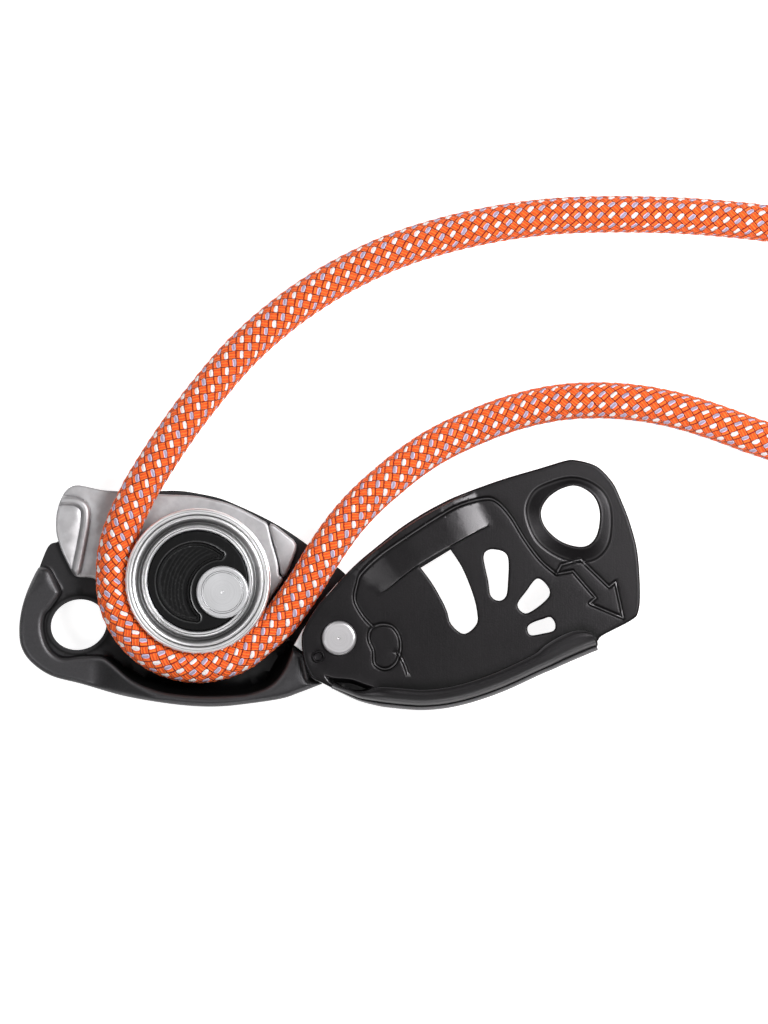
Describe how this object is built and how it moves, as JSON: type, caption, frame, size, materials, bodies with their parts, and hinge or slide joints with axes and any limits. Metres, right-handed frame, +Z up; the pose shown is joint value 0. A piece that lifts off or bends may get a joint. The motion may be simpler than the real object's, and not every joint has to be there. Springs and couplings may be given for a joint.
{
  "type": "rope grab",
  "caption": "Opened rope grab: a pulley on a pivoting cam between a fixed side plate and a swinging side plate, with a folding release handle and a rope laid round the pulley.",
  "frame": {"origin": "centre of the device's outline, on the surface it lies on, rope left out", "axes": "+X along the opened device towards the swinging plate's connector hole, +Y towards the rope strands, +Z up out of the outer face"},
  "size_m": [0.3158, 0.1686, 0.0328],
  "materials": {
    "black_anodised": "black anodised, fine satin",
    "dark_body": "black anodised, matte",
    "steel_plate": "bead-blasted grey",
    "bright_steel": "turned, bright",
    "pulley_alloy": "turned, grey anodised",
    "bronze": "plain bearing bronze",
    "spring_steel": "satin",
    "handle_nylon": "fine moulded texture",
    "rope_orange": "braided nylon sheath with white and lilac flecks"
  },
  "bodies": {
    "fixed_side": {"fixed_side_plate": "dark_body", "friction_liner": "steel_plate", "corner_pad": "steel_plate", "friction_pad": "bright_steel", "liner_rivet_left": "bright_steel", "liner_rivet_right": "bright_steel", "pad_screw_lower": "spring_steel", "pad_screw_upper": "spring_steel", "pivot_post": "bright_steel", "pivot_washer": "bronze", "pivot_rivet": "bright_steel", "cam_axle": "bright_steel", "axle_retaining_ring": "spring_steel", "cam_thrust_washer": "bronze", "cam_return_spring": "spring_steel", "handle_bumper": "handle_nylon", "rope_strand": "rope_orange", "rope_coil": "rope_orange"},
    "moving_side": {"moving_side_plate": "black_anodised", "pivot_bush": "bronze", "detent_pin": "black_anodised"},
    "cam": {"cam_disc": "black_anodised", "cam_bush": "bronze", "cam_drive_pin": "bright_steel", "wheel_retaining_ring": "spring_steel"},
    "wheel": {"wheel_sheave": "pulley_alloy", "wheel_bush": "bronze"},
    "handle_lever": {"handle_arm": "black_anodised", "handle_bush": "bronze"},
    "handle_fold": {"handle_grip": "handle_nylon", "handle_hinge_pin": "bright_steel", "handle_hinge_washer": "bronze"}
  },
  "joints": [
    {"name": "side_plate_swing", "type": "hinge", "parent": "fixed_side", "child": "moving_side", "pos_m": [0.0027, -0.0138, 0.0275], "axis": [0, 0, 1], "range_deg": [0, 149.8]},
    {"name": "cam_pivot", "type": "hinge", "parent": "fixed_side", "child": "cam", "pos_m": [-0.0276, -0.0019, 0.0196], "axis": [0, 0, 1], "range_deg": [-53, 0], "stiffness_Nm_per_rad": 0.02, "springref_deg": 20.05, "deforming": ["cam_return_spring", "rope_strand"]},
    {"name": "wheel_spin", "type": "hinge", "parent": "cam", "child": "wheel", "pos_m": [-0.034, 0.001, 0.0196], "axis": [0, 0, 1], "continuous": true},
    {"name": "handle_pull", "type": "hinge", "parent": "fixed_side", "child": "handle_lever", "pos_m": [-0.0276, -0.0019, 0.0062], "axis": [0, 0, 1], "range_deg": [0, 60], "stiffness_Nm_per_rad": 0.01, "springref_deg": -20.05},
    {"name": "handle_unfold", "type": "hinge", "parent": "handle_lever", "child": "handle_fold", "pos_m": [-0.00881, 0.00494, 0.0018], "axis": [0, 0, 1], "range_deg": [-150, 0]}
  ]
}
